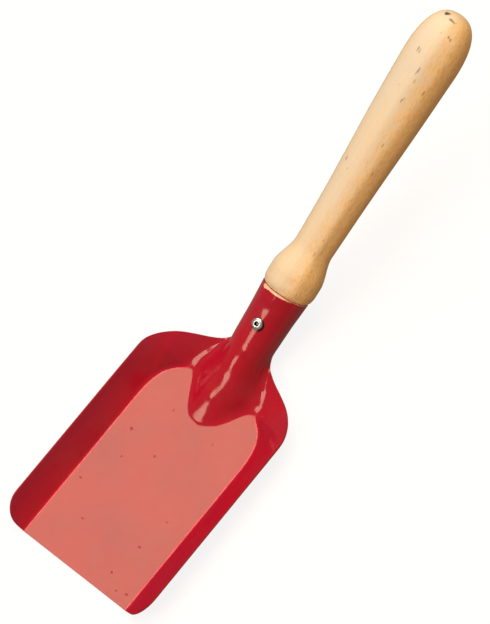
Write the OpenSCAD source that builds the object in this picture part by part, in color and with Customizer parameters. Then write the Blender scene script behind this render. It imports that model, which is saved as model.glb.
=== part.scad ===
// Child's sand shovel: an enamelled pan pressed from one steel sheet, whose tongue runs back
// into a rolled socket, with a turned beech handle held in the socket by a blind rivet.
// Millimetres. X is across the pan, +Y runs from the front edge to the handle, Z is up.
// The origin is the centre of the flat floor, on its underside.

/* [Sheet] */
// Thickness of the steel sheet
sheet_t = 0.8; // [0.6:0.05:1.2]
// Width of the rounded crease between the floor and a side wall
crease_w = 1.6; // [1:0.1:2.5]

/* [Pan] */
// Width of the pan across its rims
pan_w = 75; // [68:0.5:90]
// Width of the flat floor between the two creases
floor_w = 55.6; // [48:0.2:60]
// Height of the straight side rims above the floor
wall_rise = 11.7; // [9:0.1:14]
// How much lower the rim is behind the shoulders than at the sides
rim_fall = 5.5; // [0:0.1:6.5]
// Length of the straight side rims, from the front edge to the shoulders
side_l = 91.5; // [70:0.5:120]
// Length of the rounded shoulders behind the straight rims
shoulder_l = 19.8; // [18:0.1:26]
// Distance from the middle of the rear edge to where a shoulder starts to round
shoulder_end = 15; // [14:0.1:18]
// Length of the floor's rounded rear corners
floor_corner_l = 28.5; // [20:0.5:36]
// Distance from the rear end of the floor to the end of the shoulders
rear_wall_l = 12.8; // [10:0.1:16]
// Radius of the front corners of the side walls
front_r = 10.5; // [4:0.5:12]

/* [Tongue] */
// Length of the tongue, from its tip on the floor to the end of the shoulders
tongue_l = 29.8; // [25:0.1:36]
// Radius over the tongue's back
tongue_r = 8.5; // [7:0.1:12]
// Length over which the tip of the tongue eases into the floor
tip_ease = 5.2; // [2:0.1:8]

/* [Neck and socket] */
// Angle of the socket and handle above the floor
rise_angle = 25.4; // [20:0.1:28]
// Length of the neck, from the end of the shoulders to the closed seam
neck_l = 12.7; // [11:0.1:18]
// Reach along the sheet over which the neck's corners are rounded
soften_l = 2.2; // [1:0.1:3]
// Half of the angle that the sheet covers where the neck is narrowest
neck_angle = 105; // [98:1:115]
// Length of the closed socket
socket_l = 16.8; // [15:0.1:30]
// Outer diameter of the socket where its seam starts
socket_neck_d = 19.8; // [18:0.1:21]
// Outer diameter of the socket at its rim
socket_rim_d = 20.8; // [19.8:0.1:23]
// Gap between the two edges of the sheet along the seam
seam_gap = 0.8; // [0.4:0.1:1.5]

/* [Handle] */
// Length of the handle above the socket's rim
handle_l = 137; // [110:0.5:180]
// Depth of the handle's tenon inside the socket
tenon_l = 18; // [16:0.5:20]
// Clearance between the tenon and the socket's bore
tenon_gap = 0.1; // [0.05:0.05:0.2]
// Gap between the socket's rim and the handle's collar
collar_gap = 0.3; // [0.2:0.1:0.8]
// Largest diameter of the collar
collar_d = 23.2; // [22:0.1:26]
// Length of the collar's round underside
collar_foot_l = 4.2; // [3:0.1:6]
// Distance from the rim to the rear end of the collar's crown
collar_l = 8.5; // [7:0.1:12]
// Diameter of the waist
waist_d = 17.2; // [15:0.1:20]
// Distance from the rim to the waist
waist_at = 22.7; // [18:0.1:30]
// Largest diameter of the grip
grip_d = 24.8; // [21:0.1:28]
// Length of the rounded end behind the largest diameter of the grip
end_l = 23.1; // [14:0.1:30]
// Diameter of the mark that the lathe's centre left in the rounded end
mark_d = 1.8; // [1:0.1:2.6]
// Depth of that mark, measured from the far end of the handle
mark_depth = 2.6; // [1.8:0.1:4]
// Distance of that mark from the handle's axis
mark_off = 4.4; // [0:0.1:5]

/* [Rivet] */
// Diameter of the blind rivet's shank
rivet_d = 2.4; // [2.2:0.1:3]
// Diameter of the rivet's head
rivet_head_d = 4.9; // [4.4:0.1:6]
// Height of the rivet's head
rivet_head_h = 1; // [0.8:0.1:1.4]
// Length of the rivet's body under its head
rivet_l = 7; // [5.5:0.5:7.5]
// Diameter of the mandrel
mandrel_d = 1.5; // [1.2:0.1:1.6]
// Length of the broken mandrel left inside the rivet
mandrel_l = 3.2; // [2.4:0.1:4]
// Distance from the socket's rim to the rivet
rivet_from_rim = 15.5; // [9:0.5:15.5]
// Clearance round the rivet in the sheet and in the wood
rivet_gap = 0.1; // [0.05:0.05:0.2]

/* [Hidden] */
$fn = 64;
// Overrun of a cutting tool past the surface that it cuts
cut_over = 1;

// Places along the sheet, measured from the front edge
rear_y = side_l + shoulder_l;
floor_end_y = rear_y - rear_wall_l;
floor_corner_y = floor_end_y - floor_corner_l;
tip_y = rear_y - tongue_l;
seam_y = rear_y + neck_l;
// The centre of the flat floor in front of its rounded corners
origin_y = floor_corner_y / 2;

// Side wall, along its slope
wall_flare = (pan_w - floor_w) / 2;
wall_l = norm([wall_flare, wall_rise]);
corner_limit_share = 0.9;
corner_r = min(front_r, wall_l * corner_limit_share);
crease_share = crease_w / wall_flare;

// Where the tongue's side turns from crown to hollow, as a share of its half width
turn_share = 0.65;
// Height of the hollow beside the neck, as a share of the rear rim's height
hollow_share = 0.8;
// Extra half width of the tongue's foot at the rear end of the floor, as a share of the neck's
foot_share = 0.6;
// Least distance from the tongue's foot to the crease
hollow_w = crease_w / 2;
// How far before and behind the shoulders' end the pan turns into the neck, at the crown and at
// the sheet's edges, as shares of the neck's length
crown_lead_share = 0.9;
crown_end_share = 0.25;
edge_lead_share = 0.4;
edge_end_share = 0.45;

// Socket: a cone whose top line carries on the crown of the tongue
neck_r = socket_neck_d / 2;
rim_r = socket_rim_d / 2;
taper_angle = atan((rim_r - neck_r) / socket_l);
crown_angle = rise_angle + taper_angle;
seam_angle = asin(seam_gap / 2 / neck_r);
rim_y = seam_y + socket_l * cos(crown_angle) / cos(taper_angle);
upward = [0, -sin(rise_angle), cos(rise_angle)];

// Squareness of the rounded outlines, where 2 is an ellipse
floor_power = 3.3;
rim_power = 1.75;
end_power = 2.5;

// Columns of points across half of the sheet: tongue, floor, crease and wall
tongue_cols = 8;
floor_cols = 2;
crease_cols = 3;
wall_cols = 3;
wall_start = tongue_cols + floor_cols;
half_cols = wall_start + crease_cols + wall_cols;
// Rows of points along the sheet
front_rows = 5;
side_rows = 3;
tip_rows = 9;
shoulder_rows = 9;
neck_rows = 10;
socket_rows = 2;

function mix(a, b, m) = a + (b - a) * m;
function hold(q) = max(0, min(1, q));
function smooth(q) = let (h = hold(q)) h * h * (3 - 2 * h);
// A ramp with a curved start of the given length
function ramp(d, ease) =
    d < -ease / 2 ? 0 : d > ease / 2 ? d : pow(d + ease / 2, 2) / ease / 2;
// A quarter of a rounded outline: 1 at q = 0 and 0 at q = 1
function rounded(q, power) = pow(1 - pow(hold(q), power), 1 / power);
// Half of a bell: 1 at q = 0 and 0 from q = 1, a crown up to turn_share and hollow from there
function bell(q) =
    q >= 1 ? 0 : q < turn_share ? 1 - q * q / turn_share : pow(1 - q, 2) / (1 - turn_share);
// The rise of a wall from its rounded crease at q = 0 to its rim at q = 1
function wall_part(q) =
    (q < crease_share ? q * q / crease_share / 2 : q - crease_share / 2) / (1 - crease_share / 2);

// Heights above the floor at a distance y from the front edge
function crown_z(y) = tan(crown_angle) * ramp(y - tip_y, tip_ease);
function rim_z(y) = wall_rise - rim_fall * smooth((y - side_l) / shoulder_l);
function hollow_z(y) =
    rim_z(rear_y) * hollow_share * min(1, ramp(y - floor_end_y, rear_wall_l / 2) / rear_wall_l);

// Half widths at a distance y from the front edge
function rim_x(y) =
    mix(shoulder_end, pan_w / 2, rounded((y - side_l) / shoulder_l, rim_power));
function foot_limit(y) =
    neck_r * (1 + foot_share * (1 - smooth((y - floor_end_y) / (seam_y - floor_end_y))));
function foot_rise(y) = tan(crown_angle) * max(0, y - tip_y + tip_ease / 2) - hollow_z(y);
function foot_x(y) = min(foot_limit(y), sqrt(2 * tongue_r / turn_share * max(0, foot_rise(y))));
function tongue_x(y) = max(neck_r, foot_x(y));
function floor_x(y) =
    mix(0, floor_w / 2, rounded((y - floor_corner_y) / floor_corner_l, floor_power));
function crease_x(y) = max(tongue_x(y) + hollow_w, floor_x(y));
// Share of the wall that the round front corner leaves
function corner_part(y) =
    let (cut = corner_r - min(y, corner_r))
    1 - (corner_r - sqrt(corner_r * corner_r - cut * cut)) / wall_l;

// The pan's upper face at a place x, y
function pan_z(x, y) =
    let (hollow = hollow_z(y), foot = foot_x(y), crease = crease_x(y))
    x < foot ? mix(hollow, crown_z(y), bell(x / foot))
    : x < crease ? hollow
    : mix(hollow, rim_z(y), wall_part((x - crease) / (rim_x(y) - crease)));
// Share of the wall's width at a column of points
function wall_col(c) =
    c <= crease_cols ? crease_share * c / crease_cols
    : mix(crease_share, 1, (c - crease_cols) / wall_cols);
function pan_x(c, y) =
    c <= tongue_cols ? tongue_x(y) * c / tongue_cols
    : c <= wall_start ? mix(tongue_x(y), crease_x(y), (c - tongue_cols) / floor_cols)
    : mix(crease_x(y), rim_x(y), corner_part(y) * wall_col(c - wall_start));
function pan_point(c, y) = let (x = pan_x(c, y)) [x, y, pan_z(x, y)];

// The socket's outer face, with its sections square to the handle
function socket_r(y) = neck_r + (y - seam_y) / cos(crown_angle) * sin(taper_angle);
function socket_centre(y) = [0, y, crown_z(y)] - upward * socket_r(y);
function sheet_angle(y) = mix(neck_angle, 180 - seam_angle, smooth((y - rear_y) / neck_l));
function roll_angle(c, y) =
    c <= tongue_cols ? 90 * c / tongue_cols
    : mix(90, sheet_angle(y), (c - tongue_cols) / (half_cols - tongue_cols));
function socket_point(c, y) =
    let (a = roll_angle(c, y))
    socket_centre(y) + socket_r(y) * ([sin(a), 0, 0] + upward * cos(a));

// How far the pan has turned into the neck, from 0 to 1
function turned(y, lead, end) = smooth(((y - rear_y) / neck_l + lead) / (lead + end));
function form_point(col, y) =
    let (
        crown = turned(y, crown_lead_share, crown_end_share),
        edge = turned(y, edge_lead_share, edge_end_share),
        m = mix(crown, edge, max(0, col - tongue_cols) / (half_cols - tongue_cols))
    )
    mix(pan_point(col, y), socket_point(col, y), m);

// The press leaves no sharp valley or corner round the neck, so there the form is averaged over
// some steps to each side, which are counted in columns across and in shares of soften_l along
soften_cols = 2.3;
soft_steps = [for (a = [-1:1], b = [-1:0.5:1]) [a, b]];
soft_weights = [for (s = soft_steps) exp(-s * s)];
soft_total = soft_weights * [for (s = soft_steps) 1];
function soft_start(y) = smooth((y - tip_y + tip_ease) / neck_l);
function soft_along(y) = soften_l * soft_start(y) * smooth((rim_y - soften_l - y) / neck_l);
function soft_across(col, y) =
    soften_cols * soft_start(y) * smooth((seam_y - soften_l - y) / neck_l)
    * min(1, col / crease_cols) * smooth((wall_start + crease_cols - col) / (crease_cols + 1));
function face_point(c, y) =
    let (
        col = abs(c),
        across = soft_across(col, y),
        along = soft_along(y),
        points = [for (s = soft_steps) form_point(col + s.x * across, y + s.y * along)],
        h = along > 0 ? soft_weights * points / soft_total : form_point(col, y)
    )
    [c < 0 ? -h.x : h.x, h.y - origin_y, h.z + sheet_t];

// Rows of points, by their distance from the front edge
row_ys = concat(
    [for (i = [0:front_rows]) corner_r * (1 - cos(90 * i / front_rows))],
    [for (i = [1:side_rows]) mix(corner_r, floor_corner_y, i / side_rows)],
    [for (i = [1:tip_rows]) mix(floor_corner_y, side_l, i / tip_rows)],
    [for (i = [1:shoulder_rows]) mix(side_l, rear_y, sin(90 * i / shoulder_rows))],
    [for (i = [1:neck_rows]) mix(rear_y, seam_y, i / neck_rows)],
    [for (i = [1:socket_rows]) mix(seam_y, rim_y, i / socket_rows)]
);
face = [for (y = row_ys) [for (c = [-half_cols:half_cols]) face_point(c, y)]];
rows = len(face);
cols = len(face[0]);

// The direction square to the face at one of its points
function face_normal(r, c) =
    let (
        across = face[r][min(c + 1, cols - 1)] - face[r][max(c - 1, 0)],
        back = face[min(r + 1, rows - 1)][c] - face[max(r - 1, 0)][c],
        n = cross(across, back)
    )
    n / norm(n);
// The lower face lies one thickness below the upper one
under = [for (r = [0:rows - 1]) [for (c = [0:cols - 1]) face[r][c] - sheet_t * face_normal(r, c)]];

function at(r, c, side) = (side * rows + r) * cols + c;
function corners(r, c, side) =
    [at(r, c, side), at(r + 1, c, side), at(r + 1, c + 1, side), at(r, c + 1, side)];
function flipped(p) = [p[0], p[3], p[2], p[1]];
// Two triangles for a cell of four points, split the same way on both faces of the sheet
function cell(p, left) =
    left ? [[p[0], p[1], p[2]], [p[0], p[2], p[3]]] : [[p[0], p[1], p[3]], [p[1], p[2], p[3]]];
// The cell on the sheet's cut edge, between two neighbouring points of its upper face
function edge_cell(r1, c1, r2, c2) =
    cell([at(r1, c1, 0), at(r2, c2, 0), at(r2, c2, 1), at(r1, c1, 1)], true);

module sheet() {
    last_r = rows - 1;
    last_c = cols - 1;
    triangles = [
        for (r = [0:last_r - 1], c = [0:last_c - 1]) each cell(corners(r, c, 0), c < half_cols),
        for (r = [0:last_r - 1], c = [0:last_c - 1]) each cell(flipped(corners(r, c, 1)), c < half_cols),
        for (r = [0:last_r - 1]) each edge_cell(r + 1, 0, r, 0),
        for (r = [0:last_r - 1]) each edge_cell(r, last_c, r + 1, last_c),
        for (c = [0:last_c - 1]) each edge_cell(0, c, 0, c + 1),
        for (c = [0:last_c - 1]) each edge_cell(last_r, c + 1, last_r, c)
    ];
    upper_points = [for (row = face) each row];
    lower_points = [for (row = under) each row];
    polyhedron(points = concat(upper_points, lower_points), faces = triangles);
}

// Places on the handle's axis: z runs up the handle from the middle of the socket's rim
module at_rim() {
    translate(socket_centre(rim_y) + [0, -origin_y, sheet_t])
        rotate([rise_angle - 90, 0, 0])
            children();
}
// Here z runs out through the top of the socket, where the rivet is
module at_rivet() {
    at_rim()
        translate([0, 0, -rivet_from_rim])
            rotate([90, 0, 0])
                children();
}
// Where the rivet's head meets the cone: at the edge of the head that is nearer to the rim
seat_r = rim_r - (rivet_from_rim - rivet_head_d / 2) * tan(taper_angle);

module blade() {
    color("crimson")
        difference() {
            sheet();
            at_rivet()
                cylinder(h = rim_r + cut_over, d = rivet_d + 2 * rivet_gap);
        }
}

// Handle: radius of its tenon and of its turned outline, at a distance h from the rim
function tenon_r(h) = rim_r + h * tan(taper_angle) - sheet_t - tenon_gap;
function collar_r(h) = mix(tenon_r(0), collar_d / 2, rounded(1 - (h - collar_gap) / collar_foot_l, 2));
function waist_r(h) = mix(waist_d / 2, collar_d / 2, smooth((waist_at - h) / (waist_at - collar_l)));
grip_at = handle_l - end_l;
swell_share = 0.05;
function swell_r(h) =
    let (q = (h - waist_at) / (grip_at - waist_at))
    mix(waist_d / 2, grip_d / 2, q - swell_share * sin(360 * q));

collar_points = 7;
waist_points = 10;
swell_points = 14;
end_points = 12;
tenon_chamfer = tenon_gap * 8;
handle_outline = concat(
    [
        [0, -tenon_l],
        [tenon_r(-tenon_l) - tenon_chamfer, -tenon_l],
        [tenon_r(-tenon_l + tenon_chamfer), -tenon_l + tenon_chamfer],
        [tenon_r(0), 0]
    ],
    [for (i = [0:collar_points])
        let (h = collar_gap + collar_foot_l * (1 - cos(90 * i / collar_points))) [collar_r(h), h]],
    [for (i = [0:waist_points]) let (h = mix(collar_l, waist_at, i / waist_points)) [waist_r(h), h]],
    [for (i = [1:swell_points]) let (h = mix(waist_at, grip_at, i / swell_points)) [swell_r(h), h]],
    [for (i = [1:end_points])
        let (q = sin(90 * i / end_points)) [grip_d / 2 * rounded(q, end_power), grip_at + end_l * q]]
);

module handle() {
    color("burlywood")
        difference() {
            at_rim()
                difference() {
                    rotate_extrude()
                        polygon(handle_outline);
                    translate([-mark_off, 0, handle_l - mark_depth])
                        cylinder(h = mark_depth, r1 = 0, r2 = mark_d / 2);
                }
            at_rivet()
                rivet_hole();
        }
}

// Rivet: z is zero on the handle's axis, and the head sits on the socket at seat_r
mandrel_gap = rivet_gap / 2;
rivet_end = seat_r - rivet_l;
flare_share = 1.3;
flare_r = rivet_d / 2 * flare_share;
flare_l = rivet_d;
head_edge_share = 0.3;
head_edge = rivet_head_h * head_edge_share;
bulb_share = 0.92;
bulb_r = rivet_d / 2 * bulb_share;
bulb_l = mandrel_d / 2;
bore_r = mandrel_d / 2 + mandrel_gap;
dome_points = 6;

module rivet_hole() {
    translate([0, 0, rivet_end])
        cylinder(h = rim_r, d = rivet_d + 2 * rivet_gap);
    translate([0, 0, rivet_end - bulb_l - rivet_gap])
        cylinder(h = bulb_l + flare_l + 2 * rivet_gap, r = flare_r + rivet_gap);
}

module rivet_body() {
    dome_r = rivet_head_d / 2;
    dome_h = rivet_head_h - head_edge;
    last_a = acos(bore_r / dome_r);
    color("silver")
        at_rivet()
            rotate_extrude()
                polygon(concat(
                    [
                        [bore_r, rivet_end + bulb_l],
                        [bulb_r + mandrel_gap, rivet_end],
                        [flare_r - mandrel_gap, rivet_end],
                        [flare_r, rivet_end + flare_l / 3],
                        [rivet_d / 2, rivet_end + flare_l],
                        [rivet_d / 2, seat_r],
                        [dome_r, seat_r]
                    ],
                    [for (i = [0:dome_points])
                        let (a = last_a * i / dome_points)
                        [dome_r * cos(a), seat_r + head_edge + dome_h * sin(a)]]
                ));
}

module rivet_mandrel() {
    color("dimgray")
        at_rivet()
            rotate_extrude()
                polygon([
                    [0, rivet_end - bulb_l],
                    [bulb_r / 2, rivet_end - bulb_l],
                    [bulb_r, rivet_end - bulb_l / 2],
                    [bulb_r, rivet_end],
                    [mandrel_d / 2, rivet_end + bulb_l],
                    [mandrel_d / 2, rivet_end + mandrel_l],
                    [0, rivet_end + mandrel_l]
                ]);
}

blade();
handle();
rivet_body();
rivet_mandrel();
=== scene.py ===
import math

import bmesh
import bpy
from mathutils import Matrix, Vector, noise


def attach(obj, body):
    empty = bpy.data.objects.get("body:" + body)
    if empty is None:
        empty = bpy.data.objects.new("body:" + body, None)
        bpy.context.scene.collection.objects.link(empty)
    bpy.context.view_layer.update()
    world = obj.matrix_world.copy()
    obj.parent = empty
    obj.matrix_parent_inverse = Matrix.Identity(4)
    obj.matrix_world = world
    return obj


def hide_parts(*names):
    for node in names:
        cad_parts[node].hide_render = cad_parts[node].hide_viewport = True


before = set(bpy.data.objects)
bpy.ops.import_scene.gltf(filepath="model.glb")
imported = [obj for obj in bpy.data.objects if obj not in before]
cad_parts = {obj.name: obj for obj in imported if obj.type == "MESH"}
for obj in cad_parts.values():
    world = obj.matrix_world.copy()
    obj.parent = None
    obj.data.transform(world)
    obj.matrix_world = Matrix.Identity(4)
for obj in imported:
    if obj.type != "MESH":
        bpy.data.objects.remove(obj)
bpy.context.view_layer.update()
print("frame loaded:", sorted(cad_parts))

mm = 0.001  # sizes are in millimetres, and a mesh is turned to metres when it is finished
mergeDistance = 0.0005


def mixed(a, b, m):
    return a + (b - a) * m


def held(q):
    return max(0.0, min(1.0, q))


def eased(q):
    # a soft step from 0 to 1
    q = held(q)
    return q * q * (3 - 2 * q)


def ramp(distance, ease):
    # a straight rise with a curved start
    if distance < -ease / 2:
        return 0.0
    return distance if distance > ease / 2 else (distance + ease / 2) ** 2 / ease / 2


def rounded(q, power):
    # a quarter of a rounded outline, from 1 down to 0
    return (1 - held(q) ** power) ** (1 / power)


def even(q):
    return q


def steps(start, end, count, bend=even):
    # the places after start, up to end
    return [mixed(start, end, bend(i / count)) for i in range(1, count + 1)]


# The pan: one pressed and rolled steel sheet

panShape = {
    "width": 75, "floorWidth": 55.6, "wallRise": 11.7, "sheetThick": 0.8,
    "sideLength": 91.5, "shoulderLength": 19.8, "shoulderEnd": 15, "rimFall": 5.5,
    "frontRadius": 10.5, "floorCorner": 28.5, "rearWall": 12.8, "creaseWidth": 1.6,
    "tongueLength": 29.8, "tongueRadius": 8.5, "tipEase": 5.2, "hollowWidth": 1.7,
    "riseAngle": 25.4, "neckLength": 12.7, "neckAngle": 105,
    "socketLength": 16.8, "socketNeck": 9.9, "socketRim": 10.4, "seamGap": 0.8,
    "mouthFlare": 0.42, "flareLength": 10.5, "flareEase": 2,
    "edgeRound": 0.22, "edgeSteps": 3, "edgeAngle": 50,
    # shares and powers of the floor's rear corners, the shoulders and the tongue's foot
    "floorPower": 3.3, "rimPower": 1.75, "turnShare": 0.65, "hollowShare": 0.8, "footShare": 0.6,
    # where the open pan turns into the socket, in shares of the neck's length
    "crownLead": 0.9, "crownEnd": 0.25, "edgeLead": 0.4, "edgeEnd": 0.45,
    # how far the press softens the neck: along it, and across in columns
    "soften": 2.2, "fineSpread": 1.16, "fineReach": 1.5, "softenLead": 10, "softenLength": 16,
    "softenCols": 1.8, "middleCols": 3, "creaseCols": 4,
    # the drawn ridge wanders, as it does on the real shovel: place along the pan, and shift
    "wander": ((76, 0), (82, -1.3), (91, -0.7), (98, 1.0), (106, 0.3), (120, 0.4), (130, 0)),
    # shallow dents where the sheet was drawn and rolled, and a calm place on the left flank
    "dentSize": 5.5, "dentDepth": 0.12, "dentFade": 8, "dentRise": 2, "dentEnd": 1,
    "calm": (-7, 61, 6), "calmReach": 6,
    # dings from the press, which bend the streaks of light: place, reach and height
    "dings": (
        # along the tongue's ridge
        ((2, 79, 17.2), 1.5, 0.12), ((2, 75.5, 15.4), 2.3, -0.2), ((1.8, 72, 13.8), 2.3, -0.18),
        ((1.3, 68, 11.8), 2, -0.1), ((-0.2, 56.3, 6), 1.3, 0.12),
        # at its tip
        ((0.5, 48.1, 1.8), 2.3, 0.25), ((-4.4, 47.8, 1.5), 1.8, 0.04),
        # in the left valley, and in the right one
        ((-15.2, 70.8, 3.3), 2.7, 0.19), ((-17.2, 66, 1.8), 2.6, 0.2),
        ((13.9, 72, 4), 2.8, 0.26), ((15.4, 66.6, 2), 2.8, 0.3), ((11.8, 79.2, 9.2), 2.6, -0.22),
        # on the socket, between the rivet and the mouth
        ((0.8, 104.5, 30.5), 6, 0.34), ((0.6, 96.6, 26.4), 2.2, -0.12),
        ((0.8, 100.6, 28.5), 2.6, 0.12), ((0.8, 104.3, 30.4), 3, 0.13),
    ),
    # painted highlight along the crease: its reach in columns, and where it ends
    "lineInside": 0.06, "lineOutside": 1.1, "lineEnd": 1, "lineFade": 4,
}
p = panShape
rearY = p["sideLength"] + p["shoulderLength"]
floorEndY = rearY - p["rearWall"]
floorCornerY = floorEndY - p["floorCorner"]
tipY = rearY - p["tongueLength"]
seamY = rearY + p["neckLength"]
originY = floorCornerY / 2
wallFlare = (p["width"] - p["floorWidth"]) / 2
wallLength = math.hypot(wallFlare, p["wallRise"])
creaseShare = p["creaseWidth"] / wallFlare
seamAngle = math.asin(p["seamGap"] / 2 / p["socketNeck"])
riseAngle = math.radians(p["riseAngle"])
taperAngle = math.atan((p["socketRim"] - p["socketNeck"]) / p["socketLength"])
crownAngle = riseAngle + taperAngle
rimY = seamY + p["socketLength"] * math.cos(crownAngle) / math.cos(taperAngle)
upward = Vector((0, -math.sin(riseAngle), math.cos(riseAngle)))

# Columns of points across half the sheet: first and last column, and count
bands = {
    "tongue": (0, 8, 26), "floor": (8, 9.92, 8), "lip": (9.92, 10, 3),
    "crease": (10, 13, 9), "wall": (13, 16, 8),
}
tongueEnd, wallStart, creaseEnd, lastCol = (
    bands[name][1] for name in ("tongue", "lip", "crease", "wall"))

# Rows of points along the sheet: end of each stretch, count and spacing
stretches = (
    (p["frontRadius"], 16, lambda q: 1 - math.cos(math.pi / 2 * q)),
    (floorCornerY, 22, even),
    (p["sideLength"], 46, even),
    (rearY, 46, lambda q: 1 - (1 - q) ** 1.8),  # closer towards the steep end of the shoulder
    (seamY, 44, even),
    (rimY, 22, even),
)


def crownZ(y):
    return math.tan(crownAngle) * ramp(y - tipY, p["tipEase"])


def rimZ(y):
    return p["wallRise"] - p["rimFall"] * eased((y - p["sideLength"]) / p["shoulderLength"])


def hollowZ(y):
    rise = min(1.0, ramp(y - floorEndY, p["rearWall"] / 2) / p["rearWall"])
    return rimZ(rearY) * p["hollowShare"] * rise


def rimX(y):
    return mixed(p["shoulderEnd"], p["width"] / 2,
                 rounded((y - p["sideLength"]) / p["shoulderLength"], p["rimPower"]))


def footX(y):
    spread = 1 - eased((y - floorEndY) / (seamY - floorEndY))
    limit = p["socketNeck"] * (1 + p["footShare"] * spread)
    rise = math.tan(crownAngle) * max(0.0, y - tipY + p["tipEase"] / 2) - hollowZ(y)
    return min(limit, math.sqrt(2 * p["tongueRadius"] / p["turnShare"] * max(0.0, rise)))


def tongueX(y):
    return max(p["socketNeck"], footX(y))


def creaseX(y):
    corner = rounded((y - floorCornerY) / p["floorCorner"], p["floorPower"])
    return max(tongueX(y) + p["hollowWidth"], p["floorWidth"] / 2 * corner)


def panHeight(x, y):
    hollow, foot, crease = hollowZ(y), footX(y), creaseX(y)
    if x < foot:
        q = x / foot
        turn = p["turnShare"]
        crown = 1 - q * q / turn if q < turn else (1 - q) ** 2 / (1 - turn)
        return mixed(hollow, crownZ(y), crown)
    if x < crease:
        return hollow
    q = (x - crease) / (rimX(y) - crease)
    part = q * q / creaseShare / 2 if q < creaseShare else q - creaseShare / 2
    return mixed(hollow, rimZ(y), part / (1 - creaseShare / 2))


def panPoint(col, y):
    cut = p["frontRadius"] - min(y, p["frontRadius"])
    corner = 1 - (p["frontRadius"] - math.sqrt(p["frontRadius"] ** 2 - cut ** 2)) / wallLength
    if col <= tongueEnd:
        x = tongueX(y) * col / tongueEnd
    elif col <= wallStart:
        x = mixed(tongueX(y), creaseX(y), (col - tongueEnd) / (wallStart - tongueEnd))
    else:
        if col <= creaseEnd:
            share = creaseShare * (col - wallStart) / (creaseEnd - wallStart)
        else:
            share = mixed(creaseShare, 1, (col - creaseEnd) / (lastCol - creaseEnd))
        x = mixed(creaseX(y), rimX(y), corner * share)
    return Vector((x, y, panHeight(x, y)))


def socketRadius(y):
    return p["socketNeck"] + (y - seamY) / math.cos(crownAngle) * math.sin(taperAngle)


def mouthFlare(y):
    # the handle has spread the socket's mouth a little
    reach = ramp(y - rimY + p["flareLength"], p["flareEase"])
    return p["mouthFlare"] * reach / p["flareLength"]


def socketCentre(y):
    return Vector((0, y, crownZ(y))) - upward * socketRadius(y)


def socketPoint(col, y):
    rolled = eased((y - rearY) / p["neckLength"])
    reach = mixed(math.radians(p["neckAngle"]), math.pi - seamAngle, rolled)
    if col <= tongueEnd:
        a = math.pi / 2 * col / tongueEnd
    else:
        a = mixed(math.pi / 2, reach, (col - tongueEnd) / (lastCol - tongueEnd))
    radius = socketRadius(y) + mouthFlare(y)
    return socketCentre(y) + radius * (Vector((math.sin(a), 0, 0)) + upward * math.cos(a))


def turned(y, lead, end):
    return eased(((y - rearY) / p["neckLength"] + lead) / (lead + end))


def formPoint(side, y):
    crown = turned(y, p["crownLead"], p["crownEnd"])
    edge = turned(y, p["edgeLead"], p["edgeEnd"])
    blend = mixed(crown, edge, max(0, side - tongueEnd) / (lastCol - tongueEnd))
    return panPoint(side, y).lerp(socketPoint(side, y), blend)


def softSteps(count, spread):
    # steps across and along, with the weight of each in the average
    return [(a, spread * b / count, math.exp(-a * a - (b / count) ** 2))
            for a in (-1, 0, 1) for b in range(-count, count + 1)]


coarseSteps = softSteps(2, 1)
# the shoulder ends steeply, so that its rim needs finer steps, of the same spread
fineSteps = softSteps(10, p["fineSpread"])


def wander(y):
    for (y0, x0), (y1, x1) in zip(p["wander"], p["wander"][1:]):
        if y0 <= y <= y1:
            return mixed(x0, x1, eased((y - y0) / (y1 - y0)))
    return 0.0


def sheetPoint(col, y):
    # the form, averaged round the neck, where the press leaves no sharp valley or corner
    side = abs(col)
    along = p["soften"] * eased((y - tipY + p["tipEase"]) / p["neckLength"])
    along *= eased((rimY - p["soften"] - y) / p["neckLength"])
    across = p["softenCols"] * eased((y - floorEndY + p["softenLead"]) / p["softenLength"])
    across *= eased((seamY - p["soften"] - y) / p["neckLength"])
    across *= min(1, side / p["middleCols"]) * eased((creaseEnd - side) / p["creaseCols"])
    used = coarseSteps if along > 0 else ((0, 0, 1),)
    if side > wallStart and abs(y - rearY) < p["fineReach"] * p["soften"]:
        used = fineSteps
    spot = Vector((0, 0, 0))
    total = 0
    for colStep, rowStep, weight in used:
        spot += weight * formPoint(side + colStep * across, y + rowStep * along)
        total += weight
    spot /= total
    x = (-spot.x if col < 0 else spot.x) + (1 - eased(side / tongueEnd)) * wander(y)
    return Vector((x, spot.y - originY, spot.z + p["sheetThick"]))


def unevenness(spot, y):
    # the dents of the neck and the single dings, as a lift of the sheet
    neck = eased((y - tipY) / p["dentFade"]) * eased((rimY - p["dentEnd"] - y) / p["dentFade"])
    neck *= eased((spot.z - p["sheetThick"]) / p["dentRise"])
    calm = math.exp(-((spot - Vector(p["calm"])).length / p["calmReach"]) ** 2)
    lift = neck * (1 - calm) * p["dentDepth"] * noise.noise(spot / p["dentSize"])
    for place, reach, height in p["dings"]:
        lift += height * math.exp(-((spot - Vector(place)).length / reach) ** 2)
    return lift


def finishedPiece(name, bm, materials, replaced):
    # merges a bmesh shaped in millimetres, turns it to metres and hands it to the frame
    bmesh.ops.remove_doubles(bm, verts=bm.verts, dist=mergeDistance)
    bmesh.ops.scale(bm, verts=bm.verts, vec=(mm, mm, mm))
    mesh = bpy.data.meshes.new(name)
    bm.to_mesh(mesh)
    bm.free()
    for face in mesh.polygons:
        face.use_smooth = True
    piece = bpy.data.objects.new(name, mesh)
    bpy.context.scene.collection.objects.link(piece)
    for material in materials:
        mesh.materials.append(material)
    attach(piece, "root")
    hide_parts(replaced)
    return piece


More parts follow.
